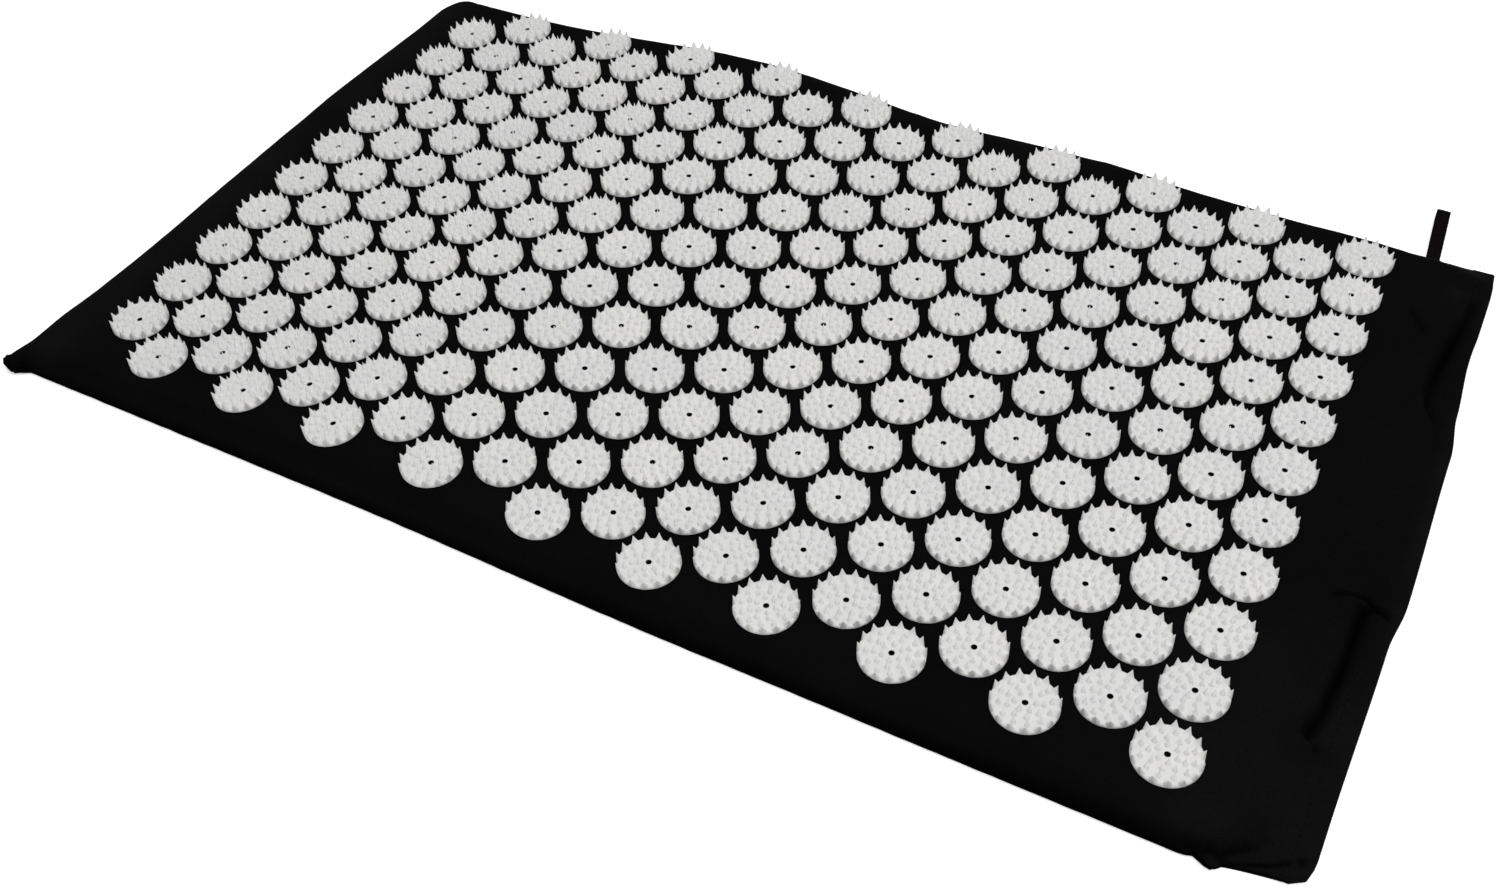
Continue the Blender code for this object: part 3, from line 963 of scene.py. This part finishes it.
def plate():
    """Round plate with a rounded rim and a hole."""
    item = add(
        bpy.ops.mesh.primitive_cylinder_add, vertices=45, radius=DISC_RADIUS,
        depth=PLATE_THICKNESS, location=(0, 0, PLATE_THICKNESS / 2), end_fill_type="NGON",
    )
    settle(item, "plate")
    bpy.ops.object.mode_set(mode="EDIT")
    bpy.ops.mesh.select_mode(type="EDGE")
    pick_edges(item, lambda co: co.z > PLATE_THICKNESS * 0.9)
    bpy.ops.mesh.bevel(offset=RIM_ROUND, segments=4, affect="EDGES")
    bpy.ops.mesh.select_mode(type="FACE")
    pick_faces(item, lambda centre, normal: abs(normal.z) > 0.9 and centre.xy.length < 0.001)
    bpy.ops.mesh.inset(thickness=DISC_RADIUS - RIM_ROUND - HOLE_RADIUS, use_even_offset=False)
    bpy.ops.mesh.bridge_edge_loops()
    bpy.ops.object.mode_set(mode="OBJECT")
    return item


def spike(reach, half_depth, half_width, at_rim):
    """A spike that rises from a broad foot. One at the rim stands flush with the edge."""
    item = add(
        bpy.ops.mesh.primitive_circle_add, vertices=6, radius=1, fill_type="NGON",
        location=(0, 0, 0), rotation=(0, 0, 0),
    )
    item.scale = (half_depth, half_width, 1)
    settle(item, "spike")
    flat = half_depth * math.cos(math.pi / 6)
    height = PLATE_THICKNESS * (0.04 if at_rim else 0.8)
    centre, size = reach, 1.0
    bpy.ops.object.mode_set(mode="EDIT")
    bpy.ops.mesh.select_all(action="SELECT")
    bpy.ops.transform.translate(value=(reach, 0, height))
    rise = RIM_SPIKE_HEIGHT if at_rim else SPIKE_HEIGHT
    for level, share in RIM_LEVELS if at_rim else INNER_LEVELS:
        goal = reach + (flat * (1 - share) if at_rim else 0)
        top = PLATE_THICKNESS + rise * level
        bpy.ops.mesh.extrude_region_move(
            TRANSFORM_OT_translate={"value": (goal - centre, 0, top - height)},
        )
        factor = share / size
        bpy.ops.transform.resize(value=(factor, factor, 1), center_override=(goal, 0, top))
        centre, size, height = goal, share, top
    bpy.ops.object.mode_set(mode="OBJECT")
    outwards(item)
    return item


def spiked_disc():
    """The plate with its rings of spikes, as one closed shell."""
    parts = []
    for number, (count, reach_share, turn) in enumerate(SPIKE_RINGS):
        at_rim = number == 0
        half_depth, half_width = RIM_SPIKE if at_rim else INNER_SPIKE
        reach = DISC_RADIUS * reach_share
        if at_rim:
            reach -= half_depth * math.cos(math.pi / 6) - 0.00005
        one = spike(reach, half_depth, half_width, at_rim)
        turns = [math.radians(turn + 360 * place / count) for place in range(count)]
        parts.append(copies(one, [Matrix.Rotation(angle, 4, "Z") for angle in turns], "ring"))
        drop(one)
    spikes = join(parts, "spikes")
    disc = plate()
    finish_with(disc, "BOOLEAN", operation="UNION", solver="EXACT", use_self=True, object=spikes)
    drop(spikes)
    alone(disc)
    bpy.ops.object.mode_set(mode="EDIT")
    bpy.ops.mesh.select_all(action="SELECT")
    bpy.ops.mesh.remove_doubles(threshold=0.00005)
    bpy.ops.mesh.dissolve_degenerate(threshold=0.00004)
    bpy.ops.object.mode_set(mode="OBJECT")
    # Painted light on the inner spikes, from nothing at their feet to full part way up.
    tip_light = []
    for vert in disc.data.vertices:
        up = (vert.co.z - PLATE_THICKNESS) / SPIKE_HEIGHT
        inside = vert.co.xy.length < TIP_LIGHT_REACH * DISC_RADIUS
        tip_light.append(ease(up, 0.0, TIP_LIGHT_LEVEL) if inside else 0)
    lay_values(disc.data, "tip_light", tip_light)
    return round_off(disc, 42)


def seat(column, y):
    """Where a disc lies: on its strip of the cover and tilted with it."""
    x = FIRST_COLUMN_X - column * COLUMN_STEP
    half = COLUMN_STEP / 2
    shift_x, shift_y = drift(x, y)
    moved_x, moved_y = x + shift_x, y + shift_y
    far_z = wave(x - half) - sag(moved_x - half, moved_y)
    near_z = wave(x + half) - sag(moved_x + half, moved_y)
    tilt = math.atan2(far_z - near_z, COLUMN_STEP)
    roll = math.atan2(sag(moved_x, moved_y - half) - sag(moved_x, moved_y + half), COLUMN_STEP)
    spot = Vector((moved_x, moved_y, (far_z + near_z) / 2))
    turn = Matrix.Rotation(tilt, 4, "Y") @ Matrix.Rotation(roll, 4, "X")
    return Matrix.Translation(spot) @ turn @ Matrix.Translation((0, 0, DISC_LIFT))


def disc_columns():
    """All the columns of discs, from the mouth on."""
    disc = spiked_disc()
    columns = []
    for column in range(COLUMNS):
        count = LONG_COLUMN - column % 2
        places = []
        for row in range(count):
            angle = math.radians(DISC_TURN * (row + LONG_COLUMN * column))
            spot = seat(column, (row - (count - 1) / 2) * ROW_PITCH)
            places.append(spot @ Matrix.Rotation(angle, 4, "Z"))
        columns.append(copies(disc, places, f"discs_column_{column + 1:02d}", plastic))
    drop(disc)
    return columns


columns = disc_columns()


# Pads at the mouth

def pad(name, low_z, span_y, material_of):
    """Woven backing with a field of hooks or pile inside a plain border."""
    low_y, high_y = span_y
    item = add(
        bpy.ops.mesh.primitive_cube_add, size=1,
        location=((PAD_LOW_X + PAD_HIGH_X) / 2, (low_y + high_y) / 2, low_z + PAD_THICKNESS / 2),
    )
    item.scale = (PAD_HIGH_X - PAD_LOW_X, high_y - low_y, PAD_THICKNESS * 0.6)
    settle(item, name, material_of)
    facing = 1 if name.startswith("pile") else -1
    bpy.ops.object.mode_set(mode="EDIT")
    bpy.ops.mesh.select_mode(type="FACE")
    pick_faces(item, lambda centre, normal: normal.z * facing > 0.9)
    bpy.ops.mesh.inset(thickness=PAD_BORDER)
    rise = PAD_THICKNESS * 0.2 * facing
    bpy.ops.mesh.extrude_region_move(TRANSFORM_OT_translate={"value": (0, 0, rise)})
    bpy.ops.mesh.select_all(action="SELECT")
    bpy.ops.mesh.bevel(offset=0.0002, segments=1, affect="EDGES")
    bpy.ops.object.mode_set(mode="OBJECT")
    return item


lower_pads = [pad(f"pile_pad_{side}", PILE_PAD_Z, spot, pile)
              for side, spot in zip(SIDES, PAD_SPANS)]
upper_pads = [pad(f"hooked_pad_{side}", HOOKED_PAD_Z, spot, hooks)
              for side, spot in zip(SIDES, PAD_SPANS)]


# Hanging loop

def hanging_loop():
    """Doubled tape with an open eye, as a strip swept along its path."""
    run_y = TAPE_REACH - EYE_REACH
    end_y = TAPE_ROOT_Y + run_y
    shares = [step / TAPE_STEPS for step in range(TAPE_STEPS + 1)]
    path = [(TAPE_ROOT_Y - TAPE_TUCK, 0.0012)]
    for share in shares:
        path.append((TAPE_ROOT_Y + run_y * share, TAPE_LOW_Z - 0.0002 * math.sin(3.1 * share)))
    for share in shares[1:-1]:
        angle = math.pi * (share - 0.5)
        path.append((end_y + EYE_RADIUS * math.cos(angle), EYE_Z + EYE_RADIUS * math.sin(angle)))
    for share in reversed(shares):
        open_z = TAPE_TOP_Z + (EYE_Z + EYE_RADIUS - TAPE_TOP_Z) * share ** 1.15
        path.append((TAPE_ROOT_Y + run_y * share, open_z))
    path.append((TAPE_ROOT_Y - TAPE_TUCK, 0.0021))
    item, spots = grid(len(path), TAPE_COLUMNS)
    run = lengths(path)
    places = []
    for vert, (row, _) in zip(item.data.vertices, spots):
        side = vert.co.y
        places.append((run[row], side * TAPE_WIDTH / 2))
        y, z = path[row]
        middle = TAPE_X + TAPE_LEAN * (y - TAPE_ROOT_Y)
        crimp = 0.00012 * grain(run[row], side, 0.004, 12)
        vert.co = (middle + side * (TAPE_WIDTH / 2 + crimp), y, z - 0.0002 * abs(side) ** 6)
    lay_uv(item.data, places)
    settle(item, "hanging_tape", tape)
    finish_with(item, "SOLIDIFY", thickness=TAPE_THICKNESS, offset=0)
    outwards(item)
    return round_off(item, 60)


loop = hanging_loop()


# Stitches

def stitch():
    """One stitch: a short thread that dives into the cloth at both ends."""
    item = add(
        bpy.ops.mesh.primitive_uv_sphere_add, segments=6, ring_count=5, radius=STITCH_RADIUS,
    )
    item.scale = (1, 6.2, 0.8)
    return settle(item, "stitch")


def stitched(line, name):
    """Stitches along a line of points, each laid along it."""
    one = stitch()
    places = []
    left = 0.0
    for before, after in zip(line, line[1:]):
        step = after - before
        where = left
        while where < step.length:
            spot = before + step * (where / step.length)
            turn = step.to_track_quat("Y", "Z").to_matrix().to_4x4()
            places.append(Matrix.Translation(spot) @ turn)
            where += STITCH_PITCH
        left = where - step.length
    made = copies(one, places, name, thread)
    drop(one)
    return round_off(made, 80)


def lip_line(inset, height):
    """Line along the end of a lip, this far in from it."""
    points = []
    for y in even(*LIP_STITCH_Y, LINE_STEP):
        x = mouth_edge(y) - inset
        points.append(Vector((x, y, height(x, y))))
    return points


def top_of_lip(x, y):
    top = upper_height(x, y, 1) + unevenness(x, y, 1, 1) - fold_depth(x, y)
    return top + STITCH_LIFT


def top_of_lower_hem(x, y):
    return CLOTH + LOWER_LIFT + 2 * HEM_RADIUS + STITCH_LIFT


lip_stitches = stitched(lip_line(UPPER_STITCH_INSET, top_of_lip), "lip_stitches")
lower_stitches = stitched(lip_line(LOWER_STITCH_INSET, top_of_lower_hem), "lower_lip_stitches")


def pad_frame(span_y, height):
    """Path round a pad, a little inside its border."""
    low_y, high_y = span_y[0] + PAD_STITCH_INSET, span_y[1] - PAD_STITCH_INSET
    low_x, high_x = PAD_LOW_X + PAD_STITCH_INSET, PAD_HIGH_X - PAD_STITCH_INSET
    corners = [(low_x, low_y), (high_x, low_y), (high_x, high_y), (low_x, high_y), (low_x, low_y)]
    points = []
    for (x0, y0), (x1, y1) in zip(corners, corners[1:]):
        count = max(round(math.dist((x0, y0), (x1, y1)) / LINE_STEP), 1)
        for number in range(count):
            x = x0 + (x1 - x0) * number / count
            y = y0 + (y1 - y0) * number / count
            points.append(Vector((x, y, height)))
    return points


pad_stitches = {}
for side, spot in zip(SIDES, PAD_SPANS):
    for key, kind, height in (("pile", "pile", PILE_STITCH_Z), ("hook", "hooked", HOOKED_STITCH_Z)):
        made = stitched(pad_frame(spot, height), f"{kind}_pad_{side}_stitches")
        pad_stitches[f"{key}_{side}"] = made


# Bodies: hide the solids that the pieces replace, and hang the pieces on their bodies

DISC_NODES = [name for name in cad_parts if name.startswith("disc_column_")]

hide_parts("cover_top_panel", "end_flap", "flap_hem")
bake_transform(upper)
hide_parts("cover_bottom_panel", "lip_hem")
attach(lower, "mat")
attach(seam, "mat")
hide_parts("foam_core")
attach(slab, "mat")
for number, column in enumerate(columns):
    prefix = f"disc_column_{number + 1}_"
    own = [name for name in DISC_NODES if name.startswith(prefix)]
    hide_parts(*(own or ["cover_top_panel"]))
    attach(column, "mat")
for side, lower_pad, upper_pad in zip(SIDES, lower_pads, upper_pads):
    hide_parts(f"loop_pad_{side}")
    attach(lower_pad, "mat")
    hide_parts(f"hook_pad_{side}")
    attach(upper_pad, "flap")
    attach(pad_stitches[f"pile_{side}"], "mat")
    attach(pad_stitches[f"hook_{side}"], "flap")
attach(lip_stitches, "flap")
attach(lower_stitches, "mat")
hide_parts("hanging_loop")
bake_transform(loop)


# Floor, light and camera

def floor():
    """White floor, which glows only for the camera, and more so far off, to look pure white."""
    item = add(bpy.ops.mesh.primitive_plane_add, size=FLOOR_SIZE, location=(0, 0, FLOOR_Z))
    made = material(
        "pale floor", 0.9, Base_Color=(0.82, 0.82, 0.82, 1), Specular_IOR_Level=0.0,
        Emission_Color=(1, 1, 1, 1),
    )
    bench = Bench(made)
    reach = bench.node("ShaderNodeVectorMath", operation="LENGTH", in_0=bench.place())
    level = bench.spread(reach.outputs["Value"], *FLOOR_GLOW, *FLOOR_GLOW_REACH)
    glow = bench.math("MULTIPLY", bench.seen("Is Glossy Ray"), level)
    bench.feed(bench.shader.inputs["Emission Strength"], glow)
    settle(item, "floor", made)


def lights():
    """Pale world, which is white behind the mat, and three soft lamps turned to the origin."""
    world = bpy.data.worlds.new("studio")
    bpy.context.scene.world = world
    world.use_nodes = True
    ground = world.node_tree.nodes["Background"]
    ground.inputs["Color"].default_value = (1, 1, 1, 1)
    bench = Bench(world)
    level = bench.spread(bench.seen("Is Transmission Ray"), WORLD_LIGHT, 1.0)
    bench.feed(ground.inputs["Strength"], level)
    for name, spot, size, power in LAMPS:
        data = bpy.data.lights.new(name, "AREA")
        data.shape = "DISK"
        data.size = size
        data.energy = power
        lamp = bpy.data.objects.new(name, data)
        bpy.context.scene.collection.objects.link(lamp)
        lamp.location = spot
        lamp.rotation_euler = (-Vector(spot)).to_track_quat("-Z", "Y").to_euler()


def camera():
    """Seen from the near right corner and above, as in the photograph."""
    data = bpy.data.cameras.new("camera")
    data.sensor_fit = "HORIZONTAL"
    data.sensor_width = CAMERA_SENSOR
    data.lens = CAMERA_LENS
    data.clip_start = 0.01
    data.clip_end = 50
    item = bpy.data.objects.new("camera", data)
    bpy.context.scene.collection.objects.link(item)
    right, up = Vector(CAMERA_RIGHT), Vector(CAMERA_UP)
    back = right.cross(up).normalized()
    up = back.cross(right.normalized())
    turn = Matrix((right.normalized(), up, back)).transposed().to_4x4()
    item.matrix_world = Matrix.Translation(CAMERA_SPOT) @ turn
    bpy.context.scene.camera = item


floor()
lights()
camera()
bpy.context.scene.view_settings.view_transform = "Standard"

bpy.context.view_layer.update()
